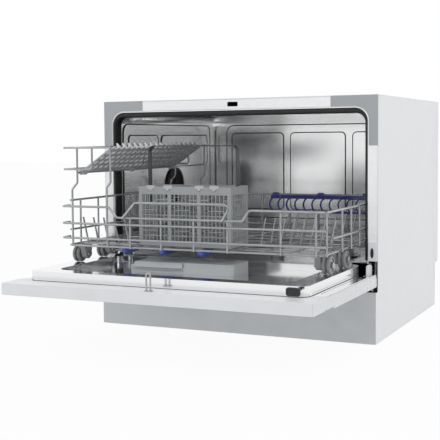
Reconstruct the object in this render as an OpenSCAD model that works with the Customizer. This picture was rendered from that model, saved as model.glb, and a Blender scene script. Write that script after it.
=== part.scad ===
// Countertop dishwasher with its door open and the rack rolled out on to the door.
// Front is -Y, up is +Z. Places are given from the plane of the front frame (y = 0),
// the middle of the width (x = 0) and the floor (z = 0); every part is then moved back
// by mid_y, so that the origin is the bottom centre of the whole object.

/* [Cabinet] */
// Outside width of the cabinet
cabinet_w = 550; // [545:1:560]
// Height from the floor to the top panel
cabinet_h = 438; // [436:1:446]
// Depth from the front frame to the rear cover
cabinet_d = 479; // [475:1:490]
// Height of the base behind the kick plate
base_h = 94; // [90:1:94]
// How far the kick plate stands in front of the front frame
plinth_out = 13; // [12:1:14]

/* [Door] */
// Reach of the open door in front of the front frame
door_reach = 343; // [340:1:345]
// Thickness of the door without its liner
door_t = 20; // [20:1:21]
// Height of the raised liner above the door
liner_h = 16.7; // [15:0.1:17]

/* [Rack] */
// Width of the rack over its rails
rack_w = 496; // [492:1:497]
// Depth of the rack
rack_d = 398; // [396:1:399]
// Diameter of the rail wires
rail_d = 4; // [3.6:0.2:4.2]
// Diameter of the wheels
wheel_d = 30; // [29:0.5:30]

/* [Cutlery basket] */
// Width of the cutlery basket
basket_w = 177; // [170:1:180]
// Depth of the cutlery basket
basket_d = 75; // [70:1:76]
// Height of the cutlery basket without its handle
basket_h = 104; // [96:1:106]

/* [Cup shelf] */
// Width of the cup shelf, hinge to teeth
shelf_w = 76; // [70:1:78]
// Slope of the raised cup shelf
shelf_tilt = 34; // [30:1:36]

/* [Hidden] */

half_w = cabinet_w / 2;
mid_y = (cabinet_d - door_reach) / 2;
sheet = 1;
eps = 0.02;

// Front opening and tub
opening_hw = 257;
opening_top = 418;
opening_r = 24;
frame_bottom = 147;
frame_t = 1.2;
gasket_w = 3;
tub_hw = 256;
tub_top = 416;
tub_floor = 118;
tub_back = 466;
tub_wall = 1.5;
tub_y = 17;
runner_w = 34;
emboss = 1.2;
field_z = [180, 394];
back_field = 218;
back_windows = [[-204, -75], [-58, 72], [89, 204]];
side_field = [40, 449];
side_windows = [[60, 186], [202, 431]];
breather_y = 262;
breather_z = 262;

// Base tray
tray_hw = 270;
tray_y = [-9, 434];
tray_z = [2, 90];
tray_wall = 3;

// Hinge line of the door, and the open door
hinge_y = door_reach - 360;
hinge_z = 112;
door_z = 106;
door_top = door_z + door_t;
liner_top = door_top + liner_h;
runner_top = liner_top;
liner_hw = 250;
liner_front = -300;
liner_back = -20;
liner_floor = 131;
door_hw = 273.6;
fascia_back = -282;
slot_x = 261;

// Rack
rack_hw = rack_w / 2;
rack_y0 = -198;
rack_y1 = rack_y0 + rack_d;
rail_low = 190;
rail_mid = 216;
rail_up = 246;
rail_left = 255;
floor_z = 176;
rail_dip = 228;
post_d = 3.6;
floor_d = 3;
wheel_gap = 0.3;
axle_z = liner_top + wheel_d / 2 + wheel_gap;
wheel_x = 236;
wheel_w = 14;
wheel_ys = [-158, -75, 150];
axle_d = 6;
fit = 0.08;
gap = 0.05;

// Cup shelf
shelf_x = -216;
shelf_z = 306;
shelf_y0 = -184;
shelf_y1 = 184;
rod_d = 4;

// Cutlery basket
basket_x = -111;
basket_y = -160;
basket_z = floor_z + floor_d / 2 + 0.1;
basket_wall = 2;

// Turning parts in the tub
arm_y = 228;
arm_z = 146;
filter_x = 105;
filter_y = 300;
pulley_y = 16;
pulley_z = 44;
pulley_r = 21;
pulley_pin = 8;
hinge_pin = 8;

// ---------------------------------------------------------------- helpers

module placed() { translate([0, -mid_y, 0]) children(); }

module mirrored() { children(); mirror([1, 0, 0]) children(); }

module block(a, b) { translate(a) cube(b - a); }

// Rounded rectangle from corner a to corner b
module rounded(a, b, r) {
    translate([a[0] + r, a[1]]) square([b[0] - a[0] - 2 * r, b[1] - a[1]]);
    translate([a[0], a[1] + r]) square([b[0] - a[0], b[1] - a[1] - 2 * r]);
    for (x = [a[0] + r, b[0] - r], y = [a[1] + r, b[1] - r]) translate([x, y]) circle(r, $fn = 48);
}

// Outline in X and Z, thick from y0 to y1
module along_y(y0, y1) { translate([0, y1, 0]) rotate([90, 0, 0]) linear_extrude(y1 - y0) children(); }

// Outline in Y and Z, thick from x0 to x1
module along_x(x0, x1) {
    translate([x0, 0, 0]) rotate([90, 0, 90]) linear_extrude(x1 - x0) children();
}

// Round bar along X
module bar_x(x0, x1, y, z, d, n = 32) {
    translate([x0, y, z]) rotate([0, 90, 0]) cylinder(h = x1 - x0, d = d, $fn = n);
}

// Round bar along Y
module bar_y(y0, y1, x, z, d, n = 32) {
    translate([x, y1, z]) rotate([90, 0, 0]) cylinder(h = y1 - y0, d = d, $fn = n);
}

// Straight round wire between two points
module wire(p, q, d) {
    v = q - p;
    run = norm(v);
    translate(p) rotate([0, acos(v[2] / run), atan2(v[1], v[0])]) cylinder(h = run, d = d, $fn = 16);
}

function unit(v) = v / norm(v);

// The points of a path, with each inner corner turned into an arc of radius r
function arc(u, v, corner, r) =
    let(turn = acos(u * v), w = unit(v - u * (u * v)), centre = corner - u * r * tan(turn / 2) + w * r)
    [for (k = [0 : 4]) centre + r * (u * sin(turn * k / 4) - w * cos(turn * k / 4))];
function eased(p, r) = [
    p[0],
    for (i = [1 : len(p) - 2]) each arc(unit(p[i] - p[i - 1]), unit(p[i + 1] - p[i]), p[i], r),
    p[len(p) - 1]];

// Direction of a path at each of its points, and a side vector carried along it without twist
function heading(p) = [
    for (i = [0 : len(p) - 1])
        unit((i == 0 ? [0, 0, 0] : unit(p[i] - p[i - 1])) + (i == len(p) - 1 ? [0, 0, 0] : unit(p[i + 1] - p[i])))];
function carried(t, side, i = 0) =
    i == len(t) ? [] : let(s = unit(side - t[i] * (t[i] * side))) [s, each carried(t, s, i + 1)];

// Wire bent along a list of points, swept as one tube of eight sides
module bent(points, d, r = 7, side = [0.31, 0.42, 0.85]) {
    path = eased(points, r);
    t = heading(path);
    s = carried(t, side);
    sides = 8;
    last = len(path) - 1;
    rings = [for (i = [0 : last], k = [0 : sides - 1])
        path[i] + d / 2 * (s[i] * cos(k * 45) + cross(t[i], s[i]) * sin(k * 45))];
    walls = [for (i = [0 : last - 1], k = [0 : sides - 1])
        let(a = i * sides + k, b = i * sides + (k + 1) % sides)
        each [[a, a + sides, b + sides], [a, b + sides, b]]];
    caps = [[for (k = [0 : sides - 1]) k], [for (k = [sides - 1 : -1 : 0]) last * sides + k]];
    polyhedron(rings, concat(walls, caps), convexity = 8);
}

// Wire along a list of points: a straight run between bends, and a bend at each inner point
module rail(p, d, r = 7) {
    last = len(p) - 1;
    run = [for (i = [0 : last - 1]) unit(p[i + 1] - p[i])];
    taken = [for (i = [0 : last]) i == 0 || i == last ? 0 : 1 + r * tan(acos(run[i - 1] * run[i]) / 2)];
    clear = [for (t = taken) t > 0 ? t + gap : 0];
    for (i = [0 : last - 1]) wire(p[i] + run[i] * clear[i], p[i + 1] - run[i] * clear[i + 1], d);
    for (i = [1 : last - 1]) bent([p[i] - run[i - 1] * taken[i], p[i], p[i] + run[i] * taken[i]], d, r);
}

// ---------------------------------------------------------------- cabinet

module side_profile() {
    polygon([[-plinth_out, 3], [436, 3], [436, cabinet_h - 2], [0, cabinet_h - 2], [0, base_h],
        [-plinth_out, base_h]]);
}

// Side panel with its folded flanges
module side_panel(right) {
    color([0.93, 0.94, 0.95]) placed() mirror([right ? 0 : 1, 0, 0]) {
        along_x(half_w - sheet, half_w) side_profile();
        block([half_w - 14, 4, cabinet_h - 3], [half_w - sheet + eps, 436, cabinet_h - 2]);
        block([half_w - 10, 435, 100], [half_w - sheet + eps, 436, cabinet_h - 20]);
    }
}

module side_panel_left() { side_panel(false); }

module side_panel_right() { side_panel(true); }

// Top panel: a rounded sheet with a turned down rim
module top_panel() {
    color([0.95, 0.96, 0.97]) placed() {
        translate([0, 0, cabinet_h - 2]) linear_extrude(2)
            rounded([-half_w, 0], [half_w, cabinet_d - 44], 3);
        for (i = [-1, 1]) block([i * 130 - 100, 60, cabinet_h - 2.8], [i * 130 + 100, 380, cabinet_h - 2 + eps]);
    }
}

// Rear cover: a moulded shell, deep above and stepped in below, with vents
module rear_cover() {
    color([0.9, 0.91, 0.92]) placed() difference() {
        union() {
            block([-half_w, 436, base_h], [half_w, cabinet_d, cabinet_h]);
            block([-half_w, 436, 3], [half_w, cabinet_d - 25, base_h + eps]);
        }
        block([-half_w + 2.5, 435, base_h - 2.5], [half_w - 2.5, cabinet_d - 2.5, cabinet_h - 2.5]);
        block([-half_w + 2.5, 435, 5.5], [half_w - 2.5, cabinet_d - 27.5, base_h]);
        for (i = [0 : 8], k = [-1, 1])
            block([k * 150 - 60, cabinet_d - 4, 300 + i * 11], [k * 150 + 60, cabinet_d + 1, 304 + i * 11]);
        for (x = [-60, -15]) bar_y(cabinet_d - 40, cabinet_d - 20, x, 52, 27);
        bar_y(cabinet_d - 40, cabinet_d - 20, 60, 52, 17);
        block([-32, cabinet_d - 10, 400], [32, cabinet_d + 1, 416]);
    }
}

// Base tray that carries the pumps, with stiffening ribs and the pulley pins
module base_tray() {
    color([0.35, 0.36, 0.38]) placed() {
        difference() {
            block([-tray_hw, tray_y[0], tray_z[0]], [tray_hw, tray_y[1], tray_z[1]]);
            block([tray_wall - tray_hw, tray_y[0] + tray_wall, 6],
                [tray_hw - tray_wall, tray_y[1] - tray_wall, tray_z[1] + 1]);
            block([-262, -10, 80], [262, -5, 91]);
            block([-90, 430, 30], [90, 436, 75]);
            for (x = [-225, 225], y = [30, 400])
                translate([x, y, 1]) cylinder(h = 6, d = 12.2, $fn = 40);
        }
        for (y = [110, 250]) block([-240, y, 6 - eps], [240, y + 2.5, 22]);
        mirrored() {
            bar_x(250, tray_hw - tray_wall + eps, pulley_y, pulley_z, pulley_pin);
            block([262.5, pulley_y - 9, 5], [tray_hw - tray_wall + eps, pulley_y + 9, pulley_z - 10]);
        }
    }
}

module kick_plate() {
    color([0.66, 0.68, 0.7]) placed() {
        along_y(-plinth_out, -plinth_out + 3) square_xz([-274, 3], [274, base_h]);
        block([-274, -plinth_out, base_h - 2], [274, -9.5, base_h]);
        mirrored() block([271, -plinth_out, 3], [273.8, -1, base_h - 4]);
    }
}

module square_xz(a, b) { translate(a) square(b - a); }

module feet() {
    color([0.15, 0.15, 0.16]) placed() for (x = [-225, 225], y = [30, 400]) translate([x, y, 0]) {
        cylinder(h = 2, d = 34, $fn = 48);
        translate([0, 0, 2 - eps]) cylinder(h = 9, d = 12, $fn = 40);
    }
}

module opening_outline(grow = 0) {
    rounded([-opening_hw - grow, -60], [opening_hw + grow, opening_top + grow], opening_r + grow);
}

// Steel frame round the opening, with the latch slot in its top bar
module front_frame() {
    color([0.93, 0.94, 0.95]) placed() {
        difference() {
            along_y(0, frame_t) difference() {
                square_xz([-273.8, frame_bottom], [273.8, cabinet_h - 2.2]);
                opening_outline();
                rounded([-10.5, 423], [10.5, 431.5], 2);
            }
        }
        along_y(frame_t - eps, 9) difference() {
            square_xz([-273.8, 433.2], [273.8, 434.4]);
            square_xz([-14, 433], [14, 435]);
        }
    }
}

module corner_brackets() {
    color([0.6, 0.62, 0.64]) placed() mirrored() along_y(-0.8, 0) difference() {
        square_xz([189, 350], [half_w - 0.4, cabinet_h - 0.4]);
        opening_outline(1);
    }
}

// Inner outline of the tub, grown by the thickness of its wall
module tub_section(grow) {
    rounded([-tub_hw - grow, tub_floor - grow], [tub_hw + grow, tub_top + grow], opening_r + grow);
}

// Pressed panel of a tub wall: a raised field, drawn at two heights, with raised windows
module pressed(field, windows, window_z, level) {
    if (level == 0) rounded([field[0], field_z[0]], [field[1], field_z[1]], 18);
    if (level == 1) for (w = windows) rounded([w[0], window_z[0]], [w[1], window_z[1]], 10);
}

// Rounded corner strips between the tub's walls, all but the lower ones' front ends
module tub_corners(y0, y1, lower) {
    side = tub_hw - opening_r;
    low = tub_floor + opening_r;
    high = tub_top - opening_r;
    along_y(y0, y1) intersection() {
        difference() {
            tub_section(tub_wall);
            tub_section(0);
        }
        union() {
            square_xz([side, high], [side + 40, high + 40]);
            if (lower) square_xz([side, low - 40], [side + 40, low]);
        }
    }
}

// Hollow step along each side of the tub, which the rack's wheels roll on
module runner() {
    inner = tub_hw - runner_w;
    along_y(tub_y, tub_back - emboss - 0.5) difference() {
        intersection() {
            square_xz([inner, tub_floor + gap], [tub_hw, runner_top]);
            tub_section(-gap);
        }
        square_xz([inner + tub_wall, tub_floor - 1], [tub_hw - tub_wall, runner_top - tub_wall]);
    }
}

// Stainless tub, open at the front: welded from pressed walls and rounded corner strips, with the
// front lip that the seal lies on and the runners
module tub() {
    y0 = frame_t + 0.2;
    y1 = tub_back - gap;
    flat_x = tub_hw - opening_r - gap;
    flat_z = [tub_floor + opening_r + gap, tub_top - opening_r - gap];
    color([0.72, 0.74, 0.76]) placed() {
        along_y(tub_back, tub_back + tub_wall) tub_section(tub_wall);
        for (level = [0, 1]) along_y(tub_back - emboss * (level + 1), tub_back + eps)
            pressed([-back_field, back_field], back_windows, [200, 376], level);
        block([-flat_x, y0, tub_top], [flat_x, y1, tub_top + tub_wall]);
        difference() {
            union() {
                block([-flat_x, tub_y, tub_floor - tub_wall], [flat_x, y1, tub_floor]);
                block([-flat_x, tub_y, tub_floor - 15], [flat_x, tub_y + tub_wall, tub_floor - eps]);
            }
            translate([filter_x, filter_y, 100]) cylinder(h = 30, d = 92, $fn = 64);
            translate([0, arm_y, 100]) cylinder(h = 30, d = 34, $fn = 48);
        }
        for (s = [0, 1]) mirror([s, 0, 0]) difference() {
            union() {
                block([tub_hw, y0, flat_z[0]], [tub_hw + tub_wall, y1, flat_z[1]]);
                for (level = [0, 1]) along_x(tub_hw - emboss * (level + 1), tub_hw + eps)
                    pressed(side_field, side_windows, [304, 372], level);
            }
            if (s == 1) bar_x(tub_hw - 6, tub_hw + 6, breather_y, breather_z, 40);
        }
        mirrored() {
            tub_corners(y0, y1, false);
            tub_corners(tub_y + gap, y1, true);
            runner();
        }
    }
}

// Rubber seal inside the opening and along the front lip of the floor
module tub_gasket() {
    color([0.08, 0.08, 0.09]) placed() {
        along_y(frame_t + 0.3, 11) difference() {
            rounded([-tub_hw + 0.3, 60], [tub_hw - 0.3, tub_top - 0.3], opening_r - 0.3);
            rounded([-tub_hw + gasket_w, 50], [tub_hw - gasket_w, tub_top - gasket_w], opening_r - gasket_w);
            square_xz([-300, 40], [300, frame_bottom + 1]);
        }
        block([-230, tub_y - 2.4, tub_floor - 13], [230, tub_y - gap, tub_floor - 1]);
    }
}

module latch_housing() {
    color([0.12, 0.12, 0.13]) placed() difference() {
        block([-17, frame_t + 0.1, 418.2], [17, 46, 433]);
        block([-10, 0, 423.4], [10, 42, 431]);
    }
}

module breather_cap() {
    face = -tub_hw + emboss;
    color([0.1, 0.1, 0.11]) placed() translate([0, breather_y, breather_z]) {
        bar_x(-259, face + 0.3, 0, 0, 39);
        difference() {
            bar_x(face + 0.1, face + 4, 0, 0, 80, 72);
            bar_x(face + 2, face + 5, 0, 0, 64, 72);
        }
        for (a = [0 : 45 : 135]) rotate([a, 0, 0]) block([face + 1.9, -32.5, -2], [face + 3.6, 32.5, 2]);
    }
}

module sump() {
    color([0.3, 0.31, 0.33]) placed() difference() {
        union() {
            translate([filter_x, filter_y, 58]) cylinder(h = tub_floor - tub_wall - 58.2, d = 112, $fn = 72);
            block([-30, 205, 86], [filter_x, 330, tub_floor - tub_wall - 0.2]);
        }
        translate([filter_x, filter_y, 62]) cylinder(h = 80, d = 93, $fn = 64);
        translate([0, arm_y, 90]) cylinder(h = 40, d = 26.4, $fn = 48);
    }
}

// Turning filter: a rim with a bar handle over a slotted cup
module filter() {
    color([0.75, 0.77, 0.79]) placed() translate([filter_x, filter_y, 0]) {
        difference() {
            union() {
                translate([0, 0, 68]) cylinder(h = 52, d = 91, $fn = 64);
                translate([0, 0, tub_floor + 0.1]) cylinder(h = 3, d = 98, $fn = 64);
            }
            translate([0, 0, 70]) cylinder(h = 60, d = 86, $fn = 64);
            for (a = [0 : 30 : 150]) rotate([0, 0, a]) block([-60, -5, 76], [60, 5, 108]);
        }
        difference() {
            translate([0, 0, 114]) cylinder(h = 6, d = 86 + eps, $fn = 64);
            for (x = [-30, -18, 18, 30], y = [-18, 0, 18]) translate([x, y, 110]) cylinder(h = 14, d = 8, $fn = 24);
        }
        block([-36, -4, 119], [36, 4, 134]);
    }
}

module spray_hub() {
    color([0.4, 0.42, 0.44]) placed() translate([0, arm_y, 0]) {
        translate([0, 0, 96]) cylinder(h = arm_z - 96.1, d = 26, $fn = 48);
        translate([0, 0, arm_z - 0.2]) cylinder(h = 9.8, d = 16 - 2 * fit, $fn = 48);
    }
}

// Two bladed spray arm with its jets, turning on the hub
module spray_arm() {
    color([0.5, 0.52, 0.55]) placed() translate([0, arm_y, arm_z]) difference() {
        union() {
            cylinder(h = 12, d = 44, $fn = 64);
            linear_extrude(8) for (k = [0, 180]) rotate([0, 0, k]) {
                polygon([[0, -19], [185, -11], [185, 11], [0, 19]]);
                translate([185, 0]) circle(11, $fn = 40);
            }
        }
        translate([0, 0, -1]) cylinder(h = 11, d = 16, $fn = 48);
        for (x = [50 : 32 : 178], s = [-1, 1]) translate([x * s, 4 * s, 3]) cylinder(h = 10, d = 4, $fn = 24);
    }
}

module wash_pump() {
    color([0.55, 0.56, 0.58]) placed() {
        bar_x(-180, -95, 300, 50, 78, 64);
        bar_x(-95 - eps, -70, 300, 50, 52, 48);
        bar_x(-70 - eps, 46, 300, 72, 24);
        for (x = [-165 : 14 : -109]) bar_x(x, x + 4, 300, 50, 84, 64);
        block([-170, 262, 6], [-105, 338, 14]);
    }
}

module drain_pump() {
    color([0.2, 0.21, 0.22]) placed() {
        bar_y(340, 400, 170, 36, 50, 48);
        bar_y(400 - eps, 418, 170, 36, 36, 40);
        block([150, 350, 6], [190, 392, 13]);
    }
}

module inlet_valve() {
    color([0.85, 0.86, 0.88]) placed() {
        block([-80, 380, 30], [-30, 424, 70]);
        bar_y(424 - eps, 433.8, -60, 52, 22);
    }
}

// Water inlet, drain and power inlet at the back
module rear_connectors() {
    back = cabinet_d - 25;
    color([0.8, 0.81, 0.82]) placed() {
        difference() {
            union() {
                bar_y(back - 16, back + 16, -60, 52, 26.6);
                bar_y(back + 4, back + 9, -60, 52, 34);
            }
            bar_y(back - 20, back + 18, -60, 52, 15);
        }
        difference() {
            bar_y(back - 16, back + 20, -15, 52, 22);
            bar_y(back - 20, back + 22, -15, 52, 17);
        }
        difference() {
            union() {
                bar_y(back - 14, back + 6, 60, 52, 16.6);
                bar_y(back, back + 4, 60, 52, 24);
            }
            bar_y(back - 18, back + 8, 60, 52, 9);
        }
    }
}

// Springs that balance the door, each in its tube behind its pulley
module door_springs() {
    color([0.6, 0.6, 0.62]) placed() mirrored() {
        bar_y(70, 240, 258, pulley_z - pulley_r + 3, 15);
        bar_y(240 - eps, 252, 258, pulley_z - pulley_r + 3, 8);
        block([250, 252 - eps, 6], [266, 256, pulley_z - pulley_r + 11]);
    }
}

module balance_pulleys() {
    color([0.85, 0.85, 0.83]) placed() mirrored() translate([252, pulley_y, pulley_z]) rotate([0, 90, 0])
        difference() {
            rotate_extrude($fn = 64) polygon([[pulley_pin / 2 + fit, 0], [pulley_r, 0], [pulley_r, 2], [pulley_r - 4, 4],
                [pulley_r, 6], [pulley_r, 8], [pulley_pin / 2 + fit, 8]]);
            for (a = [0 : 60 : 300]) rotate([0, 0, a]) translate([12, 0, -1]) cylinder(h = 12, d = 7, $fn = 24);
        }
}

// Steel brackets from the base up to the hinge line, with the hinge pins
module hinge_brackets() {
    foot = tray_z[1] + gap;
    color([0.7, 0.71, 0.72]) placed() mirrored() {
        along_x(266, 269) polygon([[tray_y[0], foot], [26, foot], [26, 104], [6, 104], [-12, hinge_z + 5],
            [-22, hinge_z + 5], [-22, hinge_z - 4], [tray_y[0], foot + 3]]);
        bar_x(261.6, 266 + eps, hinge_y, hinge_z, hinge_pin);
        along_x(266, 269) polygon([[5, 100], [26, 100], [26, 150], [14, 150]]);
    }
}

module hinge_covers() {
    color([0.94, 0.95, 0.96]) placed() mirrored() difference() {
        along_y(-1.8, 0) rounded([259, frame_bottom + 1], [273.6, frame_bottom + 34], 1.5);
        along_y(-2, -0.8) rounded([261, frame_bottom + 5], [267.5, frame_bottom + 24], 3);
    }
}

// ---------------------------------------------------------------- door

// Outer panel: a shallow pan with a finger pocket, slotted at the back for the hinges
module door_panel() {
    color([0.86, 0.87, 0.88]) placed() difference() {
        union() {
            difference() {
                union() {
                    block([-271.4, fascia_back, door_z], [271.4, -2, door_top - 1.3]);
                    mirrored() block([270, fascia_back, door_z], [door_hw, -241.4, door_top - 1.3]);
                }
                block([-270.2, fascia_back + 1.2, door_z + 1.2], [270.2, -3.2, door_top]);
            }
            block([-57, -264, door_z + 1], [57, -242, door_z + 13]);
        }
        block([-55, -262, door_z - 1], [55, -244, door_z + 11]);
        mirrored() block([slot_x - 0.4, -46, door_z - 1], [270.4, 0, door_top]);
    }
}

module door_side_rails() {
    color([0.93, 0.94, 0.95]) placed() mirrored() {
        block([271.6, -241, 103], [door_hw, -3, 119]);
        block([271.6, -241, 118], [272.8, -3, 124]);
    }
}

// Control fascia along the top edge of the door, with holes for the buttons
module control_fascia() {
    color([0.87, 0.88, 0.89]) placed() difference() {
        block([-273, -door_reach, door_z], [273, fascia_back, door_top]);
        block([-270.5, -door_reach + 2.5, door_z + 2.5], [270.5, fascia_back - 2.5, door_top - 2.5]);
        for (x = button_xs) translate([x, button_y, door_z - 1]) cylinder(h = 6, d = button_d + 0.6, $fn = 40);
        block([-40.3, button_y - 11.3, door_z - 1], [40.3, button_y + 11.3, door_z + 4]);
    }
}

button_xs = [-215, 70, 130, 205];
button_y = -312;
button_d = 15;

module fascia_end_caps() {
    color([0.84, 0.85, 0.86]) placed() mirrored() along_x(273, half_w) difference() {
        rounded([-door_reach, door_z], [fascia_back, door_top], 2);
        square_xz([fascia_back - 8, door_z - 1], [fascia_back + 1, door_z + 2.4]);
    }
}

module button(i) {
    color([0.8, 0.81, 0.83]) placed() translate([button_xs[i], button_y, door_z - 0.8]) {
        cylinder(h = 3.2, d = button_d, $fn = 40);
        translate([0, 0, 3.4 - 0.2 - eps]) cylinder(h = 1.6, d = button_d - 4, $fn = 32);
        translate([0, 0, 3.6]) cylinder(h = 1.2, d = button_d + 4, $fn = 40);
        difference() {
            translate([0, 0, -0.5]) cylinder(h = 0.6, d = button_d - 3, $fn = 40);
            translate([0, 0, -1]) cylinder(h = 0.8, d = button_d - 6, $fn = 40);
        }
    }
}

module power_button() { button(0); }

module program_button() { button(1); }

module delay_button() { button(2); }

module start_button() { button(3); }

module display_window() {
    color([0.05, 0.05, 0.06]) placed()
        block([-40, button_y - 11, door_z - 0.2], [40, button_y + 11, door_z + 2.6]);
}

// Outline of the liner's raised rim, and of the dished middle
module liner_ring(inset, r) {
    rounded([-liner_hw + inset, liner_front + inset], [liner_hw - inset, liner_back - inset], r);
}

module liner_pan(grow) {
    rounded([-214 - grow, -272 - grow], [214 + grow, -48 + grow], 26 + grow);
}

// Stainless inner door: a flange, a raised rim that the wheels roll on, and a dished middle
module door_liner() {
    color([0.78, 0.79, 0.81]) placed() difference() {
        union() {
            block([-271.4, fascia_back + 1.4, door_top - 1.2], [271.4, -4, door_top]);
            translate([0, 0, door_top - 1.2]) linear_extrude(liner_h + 1.2) liner_ring(0, 16);
        }
        difference() {
            translate([0, 0, door_top - 3]) linear_extrude(liner_h + 1.5) liner_ring(1.5, 15);
            translate([0, 0, liner_floor - 1.4]) linear_extrude(20) liner_pan(1.4);
        }
        translate([0, 0, liner_floor]) linear_extrude(30) liner_pan(0);
        mirrored() block([slot_x - 0.4, -46, door_z], [280, 0, door_top + 1]);
        block([-300, -350, 100], [300, fascia_back + 1, door_top + eps]);
        dispenser_cut();
    }
}

// The striker loop that enters the latch when the door is shut
module striker() {
    y = -333;
    color([0.85, 0.86, 0.87]) placed() {
        translate([-5.5, y - 5, door_top]) cube([11, 10, 1.6]);
        bar_z([-3.6, y], door_top + 1.5, door_top + 25, 2.8);
        bar_z([3.6, y], door_top + 1.5, door_top + 25, 2.8);
        translate([0, y, door_top + 25]) rotate([90, 0, 0]) rotate_extrude(angle = 180, $fn = 32)
            translate([3.6, 0]) circle(d = 2.8, $fn = 20);
    }
}

module bar_z(p, z0, z1, d) { translate([p[0], p[1], z0]) cylinder(h = z1 - z0, d = d, $fn = 32); }

disp_x0 = -128;
disp_x1 = 70;
disp_y0 = -163;
disp_y1 = -92;
disp_top = 150;
lid_x0 = -118;
lid_x1 = -24;
rinse_at = [8, -108, 138];

module dispenser_cut() {
    block([disp_x0 - 0.4, disp_y0 - 0.4, 100], [disp_x1 + 0.4, disp_y1 + 0.4, 200]);
}

// Dispenser: a moulded block, stepped down on the left where the lid slides open over its bay,
// with a rinse aid well on the right
module dispenser_body() {
    color([0.62, 0.65, 0.66]) placed() difference() {
        translate([0, 0, 112]) linear_extrude(disp_top - 112)
            rounded([disp_x0, disp_y0], [disp_x1, disp_y1], 5);
        block([disp_x0 - 1, disp_y0 - 1, 143.4], [lid_x1 + 0.5, disp_y1 - 7.5, 151]);
        block([lid_x0 + 8, disp_y0 + 14, 122], [lid_x1 - 12, disp_y1 - 16, 151]);
        translate(rinse_at) cylinder(h = 20, d = 20, $fn = 40);
        block([disp_x0 - 1, disp_y0 - 1, 133.5], [lid_x1, disp_y0 + 3, 139]);
    }
}

module detergent_lid() {
    color([0.66, 0.69, 0.7]) placed() {
        block([lid_x0, disp_y0 - 0.6, 144.2], [lid_x1, disp_y1 - 8.5, 149.4]);
        along_x(lid_x0, lid_x1) polygon([[disp_y0 - 0.6, 144.3], [disp_y0 - 0.6, 149.4], [disp_y0 - 3.4, 146],
            [disp_y0 - 4.2, 140.5], [disp_y0 - 2.4, 140.5]]);
    }
}

module rinse_cap() {
    color([0.5, 0.53, 0.55]) placed() translate(rinse_at) {
        translate([0, 0, 2]) cylinder(h = 9.6, d = 19.4, $fn = 40);
        difference() {
            translate([0, 0, 11.6 - eps]) cylinder(h = 2.4, d = 16, $fn = 40);
            block([-9, 2.4, 12], [9, 9, 15]);
            block([-9, -9, 12], [9, -2.4, 15]);
        }
    }
}

// Round vent plug on the liner's front wall
module vent_plug() {
    color([0.2, 0.2, 0.21]) placed() difference() {
        along_y(liner_front - 2.6, liner_front - 0.05) rounded([217, 127.5], [240, 140.5], 4);
        along_y(liner_front - 3, liner_front - 1.6) rounded([220, 130], [237, 138], 3);
    }
}

// Hinge arms: quarter round plates fixed inside the door's ends
module hinge_arms() {
    color([0.94, 0.95, 0.96]) placed() mirrored() {
        difference() {
            union() {
                along_x(261.8, 265) intersection() {
                    translate([hinge_y, hinge_z]) circle(31, $fn = 72);
                    square_xz([hinge_y - 12, door_z + 2], [hinge_y + 14, hinge_z + 31]);
                }
                along_x(261.8, 265) square_xz([-130, 108], [hinge_y - 10, 123]);
            }
            bar_x(260, 268, hinge_y, hinge_z, hinge_pin + 2 * fit);
        }
        block([252, -120, 108], [261.8 + eps, -60, 110]);
    }
}

// ---------------------------------------------------------------- rack

module rack_wires() { color([0.55, 0.56, 0.57]) placed() children(); }

front_posts = [-110, -50, 12, 74, 168, 228];
weld = (rail_d + post_d) / 2 + gap;

// Front of the rack: three rails, the upper one dipping under the handle
module rack_front() {
    y = rack_y0;
    left = -rack_hw + 1;
    right = rack_hw - 3.2;
    rack_wires() {
        rail([[left, y + 26, rail_up], [left, y, rail_up], [-150, y, rail_up], [-134, y, rail_dip],
            [102, y, rail_dip], [115, y, rail_up], [right, y, rail_up]], rail_d);
        for (z = [rail_mid, rail_low]) rail([[left, y + 26, z], [left, y, z], [right, y, z]], rail_d);
        rail([[-122, y - rail_d - gap, rail_dip - 1], [-96, y - rail_d - gap, rail_up + 9],
            [84, y - rail_d - gap, rail_up + 9], [67, y - rail_d - gap, rail_dip - 1]], rail_d);
        for (x = front_posts)
            wire([x, y + weld, floor_z - 2], [x, y + weld, x > 120 ? rail_up : rail_dip], post_d);
    }
}

back_posts = [-200, -140, -80, -20, 40, 100, 160, 220];

module rack_back() {
    y = rack_y1;
    end = rack_hw - 3.2;
    rack_wires() {
        bar_x(-end, end, y, rail_up + 4, rail_d);
        for (z = [rail_mid, rail_low]) wire([-end, y, z], [end, y, z], rail_d);
        for (x = back_posts)
            wire([x, y - weld, floor_z - 2], [x, y - weld, x < 0 || x > 210 ? rail_up + 4 : rail_mid + 3], post_d);
    }
}

left_posts = [-142, -80, -17, 46, 109, 172];
right_posts = [-186, -105, -55, -5, 45, 95, 145, 186];

module rack_side(right) {
    sign = right ? 1 : -1;
    x = sign * (rack_hw - 1);
    inner = x - sign * weld;
    top = right ? rail_up : rail_left;
    rack_wires() {
        wire([x, rack_y0 + (right ? 2.2 : 29), top], [x, rack_y1 - 2.2, top], rail_d);
        wire([x, rack_y0 + 29, rail_low + 12], [x, rack_y1 - 2.2, rail_low + 12], rail_d);
        for (y = right ? right_posts : left_posts)
            wire([inner, y, floor_z - 2], [inner, y, top], post_d);
    }
}

module rack_left() { rack_side(false); }

module rack_right() { rack_side(true); }

floor_xs = [-222, -172, -110, -50, 12, 74, 128, 175, 222];
floor_ys = [-130, -104, -45, 10, 65, 115, 180];

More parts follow.
